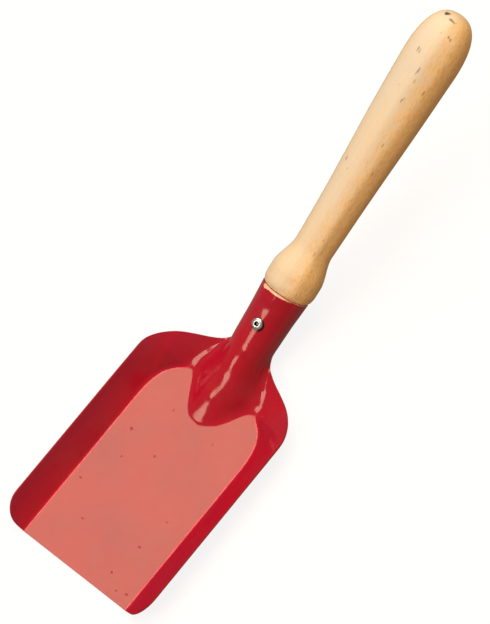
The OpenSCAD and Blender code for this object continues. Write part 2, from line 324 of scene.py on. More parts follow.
def pressedSheet(enamel, cutEdge):
    half = [0.0]
    for start, end, count in bands.values():
        half += steps(start, end, count)
    cols = [-c for c in reversed(half[1:])] + half
    rows = [0.0]
    for end, count, spacing in stretches:
        rows += steps(rows[-1], end, count, spacing)
    bm = bmesh.new()
    bmesh.ops.create_grid(bm, x_segments=len(cols) - 1, y_segments=len(rows) - 1, size=1)
    creaseLine = bm.verts.layers.float.new("creaseLine")
    for v in bm.verts:
        col = cols[round((v.co.x + 1) / 2 * (len(cols) - 1))]
        y = rows[round((v.co.y + 1) / 2 * (len(rows) - 1))]
        reach = p["lineInside"] if abs(col) < wallStart else p["lineOutside"]
        v[creaseLine] = (eased(1 - abs(abs(col) - wallStart) / reach)
                         * eased((floorEndY + p["lineEnd"] - y) / p["lineFade"]))
        v.co = sheetPoint(col, y)
        v.co += upward * unevenness(v.co, y)
    piece = finishedPiece("pressedPan", bm, [enamel, cutEdge], "blade")
    wall = piece.modifiers.new("sheet", "SOLIDIFY")
    wall.thickness = p["sheetThick"] * mm
    wall.offset = -1
    wall.use_even_offset = False  # an even offset throws spikes at the shoulders' rear corners
    wall.material_offset_rim = 1
    edge = piece.modifiers.new("edges", "BEVEL")
    edge.width = p["edgeRound"] * mm
    edge.segments = p["edgeSteps"]
    edge.limit_method = "ANGLE"
    edge.angle_limit = math.radians(p["edgeAngle"])


# The handle: turned from one piece of beech

handleShape = {
    "length": 137, "tenonLength": 18, "tenonGap": 0.1, "tenonChamfer": 0.8,
    "collarGap": 0.3, "collarStart": 10.1, "collarRadius": 11.6, "collarFoot": 4.2,
    "collarLength": 8.5, "collarPower": 1.7, "waistRadius": 8.6, "waistAt": 22.7,
    "gripRadius": 12.4, "swellShare": 0.05, "endLength": 23.1, "endPower": 2.5,
    # the mark of the lathe's centre
    "markRadius": 1.1, "markDepth": 1.3, "markPlace": (-2.9, -5.2), "markReach": 4,
    # long shallow flats from sanding by hand
    "flatDepth": 0.3, "flatLength": 70, "flatsAround": 2.2, "flatsFrom": 1, "flatFade": 4,
    # steps of the outline, and round the handle
    "footSteps": 18, "collarSteps": 6, "waistSteps": 26, "gripSteps": 44, "endSteps": 34,
    "around": 144,
}
socketMouth = socketCentre(rimY) + Vector((0, -originY, p["sheetThick"]))
atRim = Matrix.Translation(socketMouth) @ Matrix.Rotation(riseAngle - math.pi / 2, 4, "X")


def tenonRadius(h):
    return p["socketRim"] + h * math.tan(taperAngle) - p["sheetThick"] - handleShape["tenonGap"]


def handleOutline():
    s = handleShape
    deep = -s["tenonLength"]
    gripAt = s["length"] - s["endLength"]
    outline = [(0, deep), (tenonRadius(deep) - s["tenonChamfer"], deep),
               (tenonRadius(deep), deep + s["tenonChamfer"]), (tenonRadius(0), 0),
               (tenonRadius(0), s["collarGap"])]
    for q in [0.0] + steps(0, 1, s["footSteps"]):
        h = s["collarGap"] + s["collarFoot"] * (1 - math.cos(math.pi / 2 * q))
        bulge = rounded(1 - (h - s["collarGap"]) / s["collarFoot"], s["collarPower"])
        outline.append((mixed(s["collarStart"], s["collarRadius"], bulge), h))
    for h in steps(s["collarGap"] + s["collarFoot"], s["collarLength"], s["collarSteps"]):
        outline.append((s["collarRadius"], h))
    for h in steps(s["collarLength"], s["waistAt"], s["waistSteps"]):
        rise = eased((s["waistAt"] - h) / (s["waistAt"] - s["collarLength"]))
        outline.append((mixed(s["waistRadius"], s["collarRadius"], rise), h))
    for h in steps(s["waistAt"], gripAt, s["gripSteps"]):
        q = (h - s["waistAt"]) / (gripAt - s["waistAt"])
        swell = q - s["swellShare"] * math.sin(2 * math.pi * q)
        outline.append((mixed(s["waistRadius"], s["gripRadius"], swell), h))
    for a in steps(0, math.pi / 2, s["endSteps"]):
        q = math.sin(a)
        outline.append((s["gripRadius"] * rounded(q, s["endPower"]), gripAt + s["endLength"] * q))
    return outline


def spun(bm, outline, around):
    # a closed turned shape from an outline of (radius, height)
    verts = [bm.verts.new((r, 0, h)) for r, h in outline]
    edges = [bm.edges.new(pair) for pair in zip(verts, verts[1:])]
    bmesh.ops.spin(bm, geom=verts + edges, cent=(0, 0, 0), axis=(0, 0, 1), dvec=(0, 0, 0),
                   angle=2 * math.pi, steps=around, use_merge=True, use_duplicate=False)
    bmesh.ops.remove_doubles(bm, verts=bm.verts, dist=mergeDistance)
    bmesh.ops.recalc_face_normals(bm, faces=bm.faces)


def turnedHandle(beech):
    s = handleShape
    bm = bmesh.new()
    spun(bm, handleOutline(), s["around"])
    for v in bm.verts:
        if v.co.z > s["collarGap"] + s["flatsFrom"]:
            radius = math.hypot(v.co.x, v.co.y)
            a = math.atan2(v.co.y, v.co.x)
            flat = noise.noise(Vector((math.cos(a) * s["flatsAround"],
                                       math.sin(a) * s["flatsAround"], v.co.z / s["flatLength"])))
            v.co.xy *= 1 + s["flatDepth"] * flat / max(radius, s["flatFade"])
        away = math.hypot(v.co.x - s["markPlace"][0], v.co.y - s["markPlace"][1])
        if v.co.z > s["length"] - s["markReach"] and away < s["markRadius"]:
            v.co.z -= s["markDepth"] * (1 - away / s["markRadius"])
    bmesh.ops.transform(bm, matrix=atRim, verts=bm.verts)
    finishedPiece("turnedHandle", bm, [beech], "handle")


# The blind rivet: a domed head on a tube, with the broken stem inside

rivetShape = {
    "fromRim": 15.5, "length": 7, "shankRadius": 1.2, "boreRadius": 0.8,
    "headRadius": 2.45, "headHeight": 1, "headEdge": 0.3, "mouthWide": 0.4, "darkWide": 0.27,
    "flareRadius": 1.56, "flareLength": 2.4, "flareEdge": 0.05,
    "stemLength": 3.2, "headSteps": 14, "around": 64, "stemAround": 32,
    # how the head sits on the sheet: beyond its radius, and above the seat
    "foot": ((-0.1, -0.04), (0, 0.06)), "shankTop": 0.05,
    # how it sinks into the bore: beyond the bore's radius, and below the top
    "mouth": ((0.32, 0.03), (0.25, 0.12), (0, 0.5)),
    # the stem's bulb from the tube's inner end, and its torn end from the break: radius, height
    "bulb": ((0, -0.75), (0.55, -0.75), (0.99, -0.55), (1.1, -0.3), (1.1, 0), (0.75, 0.75)),
    "torn": ((0.75, -0.2), (0.6, 0), (0, -0.1)),
}
atRivet = (atRim @ Matrix.Translation((0, 0, -rivetShape["fromRim"]))
           @ Matrix.Rotation(math.pi / 2, 4, "X"))
seatAlong = rivetShape["fromRim"] - rivetShape["headRadius"]
seatRadius = p["socketRim"] - seatAlong * math.tan(taperAngle)
rivetSeat = (atRivet @ Vector((0, 0, seatRadius))) * mm


def blindRivet(aluminium, steel):
    s = rivetShape
    seat = seatRadius
    end = seat - s["length"]
    # the tube's inner end is spread by the stem's bulb
    bulbRadius, bulbNeck = s["bulb"][-2][0], s["bulb"][-1][1]
    inner = (s["boreRadius"], end + bulbNeck)
    outline = [inner, (bulbRadius + s["flareEdge"], end),
               (s["flareRadius"] - s["flareEdge"], end),
               (s["flareRadius"], end + s["flareLength"] / 3),
               (s["shankRadius"], end + s["flareLength"]),
               (s["shankRadius"], seat - s["shankTop"])]
    outline += [(s["headRadius"] + beyond, seat + above) for beyond, above in s["foot"]]
    lastAngle = math.acos((s["boreRadius"] + s["mouthWide"]) / s["headRadius"])
    for a in steps(0, lastAngle, s["headSteps"]):
        rise = (s["headHeight"] - s["headEdge"]) * math.sin(a)
        outline.append((s["headRadius"] * math.cos(a), seat + s["headEdge"] + rise))
    top = outline[-1][1]
    outline += [(s["boreRadius"] + beyond, top - below) for beyond, below in s["mouth"]] + [inner]
    bm = bmesh.new()
    spun(bm, outline, s["around"])
    # painted shade: faces round the bore's mouth take the near-black stem material
    for face in bm.faces:
        middle = face.calc_center_median()
        if math.hypot(middle.x, middle.y) < s["boreRadius"] + s["darkWide"]:
            face.material_index = 1
    bmesh.ops.transform(bm, matrix=atRivet, verts=bm.verts)
    finishedPiece("rivetHead", bm, [aluminium, steel], "rivet_body")

    torn = end + s["stemLength"]
    outline = [(r, end + h) for r, h in s["bulb"]] + [(r, torn + h) for r, h in s["torn"]]
    bm = bmesh.new()
    spun(bm, outline, s["stemAround"])
    bmesh.ops.transform(bm, matrix=atRivet, verts=bm.verts)
    finishedPiece("rivetStem", bm, [steel], "rivet_mandrel")


# Materials

def hexColour(code):
    # sRGB hex to linear
    values = [int(code[i:i + 2], 16) / 255 for i in (0, 2, 4)]
    return tuple(v / 12.92 if v <= 0.04045 else ((v + 0.055) / 1.055) ** 2.4
                 for v in values) + (1.0,)


def addNode(tree, kind, settings=None, links=None):
    node = tree.nodes.new(kind)
    for name, value in (settings or {}).items():
        if name == "ramp":
            while len(node.color_ramp.elements) < len(value):
                node.color_ramp.elements.new(0.5)
            for element, (position, colour) in zip(node.color_ramp.elements, value):
                element.position = position
                element.color = colour
        elif isinstance(name, int) or name in node.inputs:
            node.inputs[name].default_value = value
        else:
            setattr(node, name, value)
    for name, socket in (links or {}).items():
        tree.links.new(socket, node.inputs[name])
    return node


def startMaterial(name, surface):
    material = bpy.data.materials.new(name)
    material.use_nodes = True
    tree = material.node_tree
    tree.nodes.clear()
    shader = addNode(tree, "ShaderNodeBsdfPrincipled", surface)
    addNode(tree, "ShaderNodeOutputMaterial", links={"Surface": shader.outputs[0]})
    spot = addNode(tree, "ShaderNodeTexCoord").outputs["Object"]
    return material, tree, shader, spot


def perSize(size):
    # the scale of a pattern from its real size
    return 1 / (size * mm)


def grainScale(across, along):
    # the same for a pattern that is drawn out along the grain
    return (perSize(across), perSize(across), perSize(along))


def handleCoordinates(tree, spot):
    # the handle's own frame: z runs along its axis from the socket's rim
    inverse = (Matrix.Scale(mm, 4) @ atRim @ Matrix.Scale(1 / mm, 4)).inverted()
    return addNode(tree, "ShaderNodeMapping",
                   {"Location": inverse.translation, "Rotation": inverse.to_euler()},
                   {"Vector": spot}).outputs[0]


enamelLook = {
    # painted shade: reds of the left wall, darker towards its rim: colour and place across the pan
    "shadedReds": (("991637", -37), ("b2122c", -29), ("a30f2a", -27)),
    "deepRed": "8f1030", "dustAndSheen": "e8a49c", "pit": "6a1d16", "rivetShadow": "1e0c0e",
    "mouthPale": "f2bfa8", "creaseGlint": "dc2c50",
    "roughness": 0.13, "pitRoughness": 0.4, "gloss": "ffffef",
    "deepShare": 0.55, "hazeShare": 0.02, "pitShare": 0.5,
    # sizes: waves of the sheet, orange peel, pits, ragged outlines of marks and bare places
    "wave": 26, "peel": 1.6, "pitSpacing": 11, "pitEdge": 0.714, "bareEdge": 2, "hazePatch": 12.5,
    "waveHeight": 0.22, "pitDepth": 0.1, "peelHeight": 0.004,
    # larger chips on the floor of the pan: place and radius
    "chips": ((-20.2, 26.6, 0.6), (-23.7, -2.8, 0.4), (-4.6, 23.1, 0.35), (-15.8, 14.7, 0.3),
              (-11.6, -15.8, 0.4), (15.5, -10.8, 0.4), (-11.1, 43.4, 0.3), (13, -26.1, 0.35),
              (19.6, -30.7, 0.3), (24, -29.5, 0.4), (17.7, 4.3, 0.33), (11.7, 41.7, 0.35)),
    "chipWobble": 0.6, "chipEnd": 0.45, "chipFull": 0.1,
    # painted shadow round the rivet's head: its shift, where it ends and where it is full
    "rivetShadowShift": (0.35, -0.25, 0), "rivetShadowEnd": 3.2, "rivetShadowFull": 2.75,
    # the pale line round the socket's mouth, in the handle's frame: how ragged and slanted it
    # is, then pairs of places between which it sets in, begins at the left and fades at the right
    "mouthLineWobble": 1.4, "mouthLineSlant": -0.06, "mouthLine": (-0.28, -0.12), "mouthLineBegin": (-7.6, -6.6),
    "mouthLineFade": (7.5, 4),
}


def stovedEnamel():
    # Stoved gloss enamel on pressed steel: a deep wet-looking red that mirrors the softbox,
    # with the sheet's faint waves, some orange peel and a few pits.
    k = enamelLook
    material, tree, shader, spot = startMaterial(
        "stovedRedEnamel", {"IOR": 1.5, "Roughness": k["roughness"],
                            "Specular Tint": hexColour(k["gloss"])})
    wave = addNode(tree, "ShaderNodeTexNoise",
                   {"Scale": perSize(k["wave"]), "Detail": 2.0, "Roughness": 0.5},
                   {"Vector": spot})
    peel = addNode(tree, "ShaderNodeTexNoise",
                   {"Scale": perSize(k["peel"]), "Detail": 1.0}, {"Vector": spot})
    cells = addNode(tree, "ShaderNodeTexVoronoi",
                    {"Scale": perSize(k["pitSpacing"]), "Randomness": 1.0}, {"Vector": spot})
    wobble = addNode(tree, "ShaderNodeTexNoise",
                     {"Scale": perSize(k["pitEdge"]), "Detail": 0.0}, {"Vector": spot})
    near = addNode(tree, "ShaderNodeMath", {"operation": "MULTIPLY_ADD", 1: 0.05},
                   {0: wobble.outputs["Fac"], 2: cells.outputs["Distance"]})
    # only some cells have a pit, each of its own size
    size = addNode(tree, "ShaderNodeSeparateColor", links={0: cells.outputs["Color"]})
    reach = addNode(tree, "ShaderNodeMapRange",
                    {"From Min": 0.55, "From Max": 1.0, "To Min": 0.0, "To Max": 0.075},
                    {"Value": size.outputs["Red"]})
    edge = addNode(tree, "ShaderNodeMath", {"operation": "SUBTRACT"},
                   {0: reach.outputs[0], 1: near.outputs[0]})
    pit = addNode(tree, "ShaderNodeMapRange", {"From Min": -0.03, "From Max": 0.02},
                  {"Value": edge.outputs[0]})
    for x, y, wide in k["chips"]:
        centre = Vector((x, y, p["sheetThick"])) * mm
        away = addNode(tree, "ShaderNodeVectorMath", {"operation": "DISTANCE", 1: centre},
                       {0: spot})
        ragged = addNode(tree, "ShaderNodeMath",
                         {"operation": "MULTIPLY_ADD", 1: k["chipWobble"] * mm},
                         {0: wobble.outputs["Fac"], 2: away.outputs["Value"]})
        chip = addNode(tree, "ShaderNodeMapRange",
                       {"From Min": (wide + k["chipEnd"]) * mm,
                        "From Max": (wide + k["chipFull"]) * mm},
                       {"Value": ragged.outputs[0]})
        pit = addNode(tree, "ShaderNodeMath", {"operation": "MAXIMUM"},
                      {0: pit.outputs[0], 1: chip.outputs[0]})
    # painted shade across the left wall, with deeper patches where the sheet waves
    across = addNode(tree, "ShaderNodeSeparateXYZ", links={0: spot})
    lowest, highest = k["shadedReds"][0][1], k["shadedReds"][-1][1]
    place = addNode(tree, "ShaderNodeMapRange",
                    {"From Min": lowest * mm, "From Max": highest * mm},
                    {"Value": across.outputs[0]})
    red = addNode(tree, "ShaderNodeValToRGB",
                  {"ramp": [((x - lowest) / (highest - lowest), hexColour(code))
                            for code, x in k["shadedReds"]]},
                  {0: place.outputs[0]})
    deep = addNode(tree, "ShaderNodeMapRange",
                   {"From Min": 0.42, "From Max": 0.68, "To Max": k["deepShare"]},
                   {"Value": wave.outputs["Fac"]})
    shadedReds = addNode(tree, "ShaderNodeMix", {"data_type": "RGBA", 7: hexColour(k["deepRed"])},
                   {0: deep.outputs[0], 6: red.outputs[0]})
    # pale patches: partly dust from play, partly painted sheen for the gloss's uneven reflection
    patches = addNode(tree, "ShaderNodeTexNoise",
                      {"Scale": perSize(k["hazePatch"]), "Detail": 4.0, "Roughness": 0.6},
                      {"Vector": spot})
    dustAndSheen = addNode(tree, "ShaderNodeMapRange",
                   {"From Min": 0.42, "From Max": 0.72, "To Max": k["hazeShare"]},
                   {"Value": patches.outputs["Fac"]})
    dustedAndSheened = addNode(tree, "ShaderNodeMix", {"data_type": "RGBA", 7: hexColour(k["dustAndSheen"])},
                    {0: dustAndSheen.outputs[0], 6: shadedReds.outputs[2]})
    pitTone = addNode(tree, "ShaderNodeMath", {"operation": "MULTIPLY", 1: k["pitShare"]},
                      {0: pit.outputs[0]})
    pitted = addNode(tree, "ShaderNodeMix", {"data_type": "RGBA", 7: hexColour(k["pit"])},
                     {0: pitTone.outputs[0], 6: dustedAndSheened.outputs[2]})
    rough = addNode(tree, "ShaderNodeMapRange",
                    {"To Min": k["roughness"], "To Max": k["pitRoughness"]},
                    {"Value": pit.outputs[0]})
    # painted shadow: a dark ring round the rivet's head, off its centre
    rivetShadowPlace = rivetSeat + Vector(k["rivetShadowShift"]) * mm
    rivetAway = addNode(tree, "ShaderNodeVectorMath", {"operation": "DISTANCE", 1: rivetShadowPlace},
                        {0: spot})
    rivetShadow = addNode(tree, "ShaderNodeMapRange",
                   {"From Min": k["rivetShadowEnd"] * mm, "From Max": k["rivetShadowFull"] * mm},
                   {"Value": rivetAway.outputs["Value"]})
    rivetShadowed = addNode(tree, "ShaderNodeMix", {"data_type": "RGBA", 7: hexColour(k["rivetShadow"])},
                    {0: rivetShadow.outputs[0], 6: pitted.outputs[2]})
    # a pale uneven line round the socket's mouth, from the left corner
    # to the right of the middle
    local = addNode(tree, "ShaderNodeSeparateXYZ", links={0: handleCoordinates(tree, spot)})
    ragged = addNode(tree, "ShaderNodeTexNoise",
                     {"Scale": perSize(k["bareEdge"]), "Detail": 3.0}, {"Vector": spot})
    slanted = addNode(tree, "ShaderNodeMath", {"operation": "MULTIPLY_ADD", 1: k["mouthLineSlant"]},
                      {0: local.outputs[0], 2: local.outputs[2]})
    drawn = addNode(tree, "ShaderNodeMath",
                    {"operation": "MULTIPLY_ADD", 1: k["mouthLineWobble"] * mm},
                    {0: ragged.outputs["Fac"], 2: slanted.outputs[0]})
    line, begun, faded = [
        addNode(tree, "ShaderNodeMapRange",
                {"From Min": k[name][0] * mm, "From Max": k[name][1] * mm}, {"Value": value})
        for name, value in (("mouthLine", drawn.outputs[0]), ("mouthLineBegin", local.outputs[0]),
                            ("mouthLineFade", local.outputs[0]))]
    lineEnds = addNode(tree, "ShaderNodeMath", {"operation": "MULTIPLY"},
                       {0: faded.outputs[0], 1: begun.outputs[0]})
    shown = addNode(tree, "ShaderNodeMath", {"operation": "MULTIPLY"},
                    {0: line.outputs[0], 1: lineEnds.outputs[0]})
    mouthPaled = addNode(tree, "ShaderNodeMix", {"data_type": "RGBA", 7: hexColour(k["mouthPale"])},
                    {0: shown.outputs[0], 6: rivetShadowed.outputs[2]})
    # painted highlight: a fine pale line along the crease, where the bend catches the light
    crease = addNode(tree, "ShaderNodeAttribute", {"attribute_name": "creaseLine"})
    broken = addNode(tree, "ShaderNodeMapRange",
                     {"From Min": 0.35, "From Max": 0.6, "To Min": 0.35, "To Max": 1.0},
                     {"Value": ragged.outputs["Fac"]})
    creased = addNode(tree, "ShaderNodeMath", {"operation": "MULTIPLY"},
                      {0: crease.outputs["Fac"], 1: broken.outputs[0]})
    colour = addNode(tree, "ShaderNodeMix", {"data_type": "RGBA", 7: hexColour(k["creaseGlint"])},
                     {0: creased.outputs[0], 6: mouthPaled.outputs[2]})
    waves = addNode(tree, "ShaderNodeBump", {"Strength": 1.0, "Distance": k["waveHeight"] * mm},
                    {"Height": wave.outputs["Fac"]})
    chipped = addNode(tree, "ShaderNodeBump",
                      {"Strength": 1.0, "Distance": k["pitDepth"] * mm, "invert": True},
                      {"Height": pit.outputs[0], "Normal": waves.outputs[0]})
    peels = addNode(tree, "ShaderNodeBump", {"Strength": 1.0, "Distance": k["peelHeight"] * mm},
                    {"Height": peel.outputs["Fac"], "Normal": chipped.outputs[0]})
    tree.links.new(colour.outputs[2], shader.inputs["Base Color"])
    tree.links.new(rough.outputs[0], shader.inputs["Roughness"])
    tree.links.new(peels.outputs[0], shader.inputs["Normal"])
    return material


edgeLook = {
    "dark": "981c26", "pale": "f2c3a4", "roughness": 0.38, "paleReach": 0.7, "speckle": 1.111,
}


def cutEdgeEnamel():
    # The sheet's cut edge: the enamel draws thin and dark there, and shows a pale line round the
    # socket's mouth.
    k = edgeLook
    material, tree, shader, spot = startMaterial(
        "thinEnamelOnCutEdge", {"IOR": 1.5, "Roughness": k["roughness"]})
    local = addNode(tree, "ShaderNodeSeparateXYZ", links={0: handleCoordinates(tree, spot)})
    nearRim = addNode(tree, "ShaderNodeMapRange",
                      {"From Min": -2 * k["paleReach"] * mm, "From Max": -k["paleReach"] * mm},
                      {"Value": local.outputs[2]})
    speckle = addNode(tree, "ShaderNodeTexNoise",
                      {"Scale": perSize(k["speckle"]), "Detail": 3.0}, {"Vector": spot})
    patch = addNode(tree, "ShaderNodeMapRange",
                    {"From Min": 0.3, "From Max": 0.6, "To Min": 0.55},
                    {"Value": speckle.outputs["Fac"]})
    start, full = enamelLook["mouthLineBegin"]
    begun = addNode(tree, "ShaderNodeMapRange", {"From Min": start * mm, "From Max": full * mm},
                    {"Value": local.outputs[0]})
    nearMouth = addNode(tree, "ShaderNodeMath", {"operation": "MULTIPLY"},
                     {0: nearRim.outputs[0], 1: begun.outputs[0]})
    pale = addNode(tree, "ShaderNodeMath", {"operation": "MULTIPLY"},
                   {0: nearMouth.outputs[0], 1: patch.outputs[0]})
    colour = addNode(tree, "ShaderNodeMix",
                     {"data_type": "RGBA", 6: hexColour(k["dark"]), 7: hexColour(k["pale"])},
                     {0: pale.outputs[0]})
    tree.links.new(colour.outputs[2], shader.inputs["Base Color"])
    return material


woodLook = {
    "sap": "d2c8ba", "peach": "d9c6ab", "honey": "dfc6a5", "heartShade": "e8bf87",
    "grain": "ae7f45", "pore": "7f5a30", "markTone": "543818",
    "roughness": 0.46, "fibreRoughness": 0.62, "fibreHeight": 0.03, "poreDepth": 0.08,
    # growth rings round a pith beside the handle, which bend along it
    "ringSpacing": 2.6, "pithAside": 34, "pithBelow": 12, "pithBend": 0.04, "ringWobble": 4,
    # sizes across and along the grain: drifts of tone, the heart's ragged edge, and fibres and
    # pores, which are drawn coarser than they are so that they show
    "drift": (16.67, 83.3), "raggedFibre": (2.22, 5), "fibre": (0.588, 2.38),
    "poreCell": (1.111, 3.846), "poreGroup": 6.67,
    # the heart lies to the right and a little below, on the shaded side, so that it is partly
    # painted
    # shade: direction, where it sets in and is full, and how far its edge drifts and is ragged
    "heartShadeRight": 0.9, "heartShadeBelow": 0.43, "heartShadeStart": 6, "heartShadeFull": 16.5,
    "heartShadeDrift": 6, "heartShadeRagged": 16,
    # marks at the end and the pores that show: place, width, depth of tone
    # the first two are painted shade in the hollow of the lathe's centre mark
    "endMarks": (((-2.9, -5.2, 135.3), 1.45, 0.95), ((-2.1, -5, 135.4), 1.2, 0.45),
               ((0.2, -7.3, 134.3), 0.8, 0.6), ((1, -7.35, 134.15), 0.75, 0.6),
               ((1.8, -7.4, 134), 0.7, 0.6), ((2.5, -7.4, 133.9), 0.6, 0.5)),
    "pores": (((1.8, -12.3, 110.8), 0.5, 0.5), ((1.4, -12.4, 109.2), 0.4, 0.35),
              ((2.6, -11.9, 105.9), 0.4, 0.35), ((7.8, -9.3, 103.5), 0.5, 0.5),
              ((2.7, -11.6, 97.2), 0.4, 0.35), ((4.9, -9.7, 76.3), 0.45, 0.4),
              ((7.1, -7.4, 63.6), 0.5, 0.4), ((-2.6, -9.8, 60.1), 0.3, 0.35),
              ((4.3, -7.6, 22.1), 0.4, 0.3)),
    "poreLength": 3, "markWobble": 0.6,
}


def varnishedBeech():
    # Turned beech, sanded and thinly varnished: pale and close-grained, with short dark rays and
    # pores along the grain, and a warmer heart side that is partly painted shade.
    k = woodLook
    material, tree, shader, spot = startMaterial(
        "varnishedBeech", {"IOR": 1.45, "Roughness": k["roughness"]})
    local = handleCoordinates(tree, spot)
    parts = addNode(tree, "ShaderNodeSeparateXYZ", links={0: local})
    drift = addNode(tree, "ShaderNodeMapping", {"Scale": grainScale(*k["drift"])},
                    {"Vector": local})
    cloud = addNode(tree, "ShaderNodeTexNoise", {"Scale": 1.0, "Detail": 3.0},
                    {"Vector": drift.outputs[0]})
    away = addNode(tree, "ShaderNodeMapping",
                   {"Location": (k["pithAside"] * mm, k["pithBelow"] * mm, 0.0),
                    "Scale": (1.0, 1.0, k["pithBend"])}, {"Vector": local})
    radius = addNode(tree, "ShaderNodeVectorMath", {"operation": "LENGTH"}, {0: away.outputs[0]})
    bent = addNode(tree, "ShaderNodeMath", {"operation": "MULTIPLY_ADD", 1: k["ringWobble"] * mm},
                   {0: cloud.outputs["Fac"], 2: radius.outputs["Value"]})
    rings = addNode(tree, "ShaderNodeMath",
                    {"operation": "MULTIPLY", 1: 2 * math.pi * perSize(k["ringSpacing"])},
                    {0: bent.outputs[0]})
    ring = addNode(tree, "ShaderNodeMath", {"operation": "SINE"}, {0: rings.outputs[0]})
    late = addNode(tree, "ShaderNodeMapRange", {"From Min": 0.1, "From Max": 1.0, "To Max": 0.03},
                   {"Value": ring.outputs[0]})
    fibreMap = addNode(tree, "ShaderNodeMapping", {"Scale": grainScale(*k["fibre"])},
                       {"Vector": local})
    fibre = addNode(tree, "ShaderNodeTexNoise", {"Scale": 1.0, "Detail": 2.0},
                    {"Vector": fibreMap.outputs[0]})
    # dark rays and pores, in loose groups
    poreMap = addNode(tree, "ShaderNodeMapping", {"Scale": grainScale(*k["poreCell"])},
                      {"Vector": local})
    pores = addNode(tree, "ShaderNodeTexVoronoi", {"Scale": 1.0}, {"Vector": poreMap.outputs[0]})
    kind = addNode(tree, "ShaderNodeSeparateColor", links={0: pores.outputs["Color"]})
    groups = addNode(tree, "ShaderNodeTexNoise", {"Scale": perSize(k["poreGroup"]), "Detail": 2.0},
                     {"Vector": local})
    chance = addNode(tree, "ShaderNodeMath", {"operation": "MULTIPLY"},
                     {0: kind.outputs["Red"], 1: groups.outputs["Fac"]})
    size = addNode(tree, "ShaderNodeMapRange", {"From Min": 0.5, "From Max": 0.68, "To Max": 0.4},
                   {"Value": chance.outputs[0]})
    gap = addNode(tree, "ShaderNodeMath", {"operation": "SUBTRACT"},
                  {0: size.outputs[0], 1: pores.outputs["Distance"]})
    pore = addNode(tree, "ShaderNodeMapRange", {"From Min": -0.1, "From Max": 0.12},
                   {"Value": gap.outputs[0]})
    # the heart side, partly painted shade, whose edge drifts and breaks up into fibres
    leftRight = addNode(tree, "ShaderNodeMath", {"operation": "MULTIPLY", 1: k["heartShadeRight"]},
                        {0: parts.outputs[0]})
    side = addNode(tree, "ShaderNodeMath", {"operation": "MULTIPLY_ADD", 1: k["heartShadeBelow"]},
                   {0: parts.outputs[1], 2: leftRight.outputs[0]})
    uneven = addNode(tree, "ShaderNodeMath",
                     {"operation": "MULTIPLY_ADD", 1: k["heartShadeDrift"] * mm},
                     {0: cloud.outputs["Fac"], 2: side.outputs[0]})
    raggedMap = addNode(tree, "ShaderNodeMapping", {"Scale": grainScale(*k["raggedFibre"])},
                        {"Vector": local})
    ragged = addNode(tree, "ShaderNodeTexNoise", {"Scale": 1.0, "Detail": 4.0, "Roughness": 0.7},
                     {"Vector": raggedMap.outputs[0]})
    mottled = addNode(tree, "ShaderNodeMath",
                      {"operation": "MULTIPLY_ADD", 1: k["heartShadeRagged"] * mm},
                      {0: ragged.outputs["Fac"], 2: uneven.outputs[0]})
    heartShade = addNode(tree, "ShaderNodeMapRange",
                    {"From Min": k["heartShadeStart"] * mm, "From Max": k["heartShadeFull"] * mm},
                    {"Value": mottled.outputs[0]})
    tone = addNode(tree, "ShaderNodeValToRGB",
                   {"ramp": [(0.0, hexColour(k["sap"])), (0.4, hexColour(k["honey"])),
                             (0.9, hexColour(k["heartShade"]))]},
                   {0: heartShade.outputs[0]})
    # peach drifts on the pale side
    warmer = addNode(tree, "ShaderNodeMapRange", {"From Min": 0.35, "From Max": 0.6},
                     {"Value": cloud.outputs["Fac"]})
    onSap = addNode(tree, "ShaderNodeMapRange", {"From Min": 0.3, "From Max": 0.0},
                    {"Value": heartShade.outputs[0]})
    peachy = addNode(tree, "ShaderNodeMath", {"operation": "MULTIPLY"},
                     {0: warmer.outputs[0], 1: onSap.outputs[0]})
    toned = addNode(tree, "ShaderNodeMix", {"data_type": "RGBA", 7: hexColour(k["peach"])},
                    {0: peachy.outputs[0], 6: tone.outputs[0]})
    grained = addNode(tree, "ShaderNodeMix", {"data_type": "RGBA", 7: hexColour(k["grain"])},
                      {0: late.outputs[0], 6: toned.outputs[2]})
    fibreDepth = addNode(tree, "ShaderNodeMapRange", {"To Min": 0.04, "To Max": 0.45},
                         {"Value": heartShade.outputs[0]})
    fibreAmount = addNode(tree, "ShaderNodeMapRange", {"From Min": 0.45, "From Max": 0.75},
                          {"Value": fibre.outputs["Fac"], "To Max": fibreDepth.outputs[0]})
    fibred = addNode(tree, "ShaderNodeMix", {"data_type": "RGBA", 7: hexColour(k["grain"])},
                     {0: fibreAmount.outputs[0], 6: grained.outputs[2]})
    poreAmount = addNode(tree, "ShaderNodeMath", {"operation": "MULTIPLY", 1: 0.6},
                         {0: pore.outputs[0]})
    colour = addNode(tree, "ShaderNodeMix", {"data_type": "RGBA", 7: hexColour(k["pore"])},
                     {0: poreAmount.outputs[0], 6: fibred.outputs[2]})
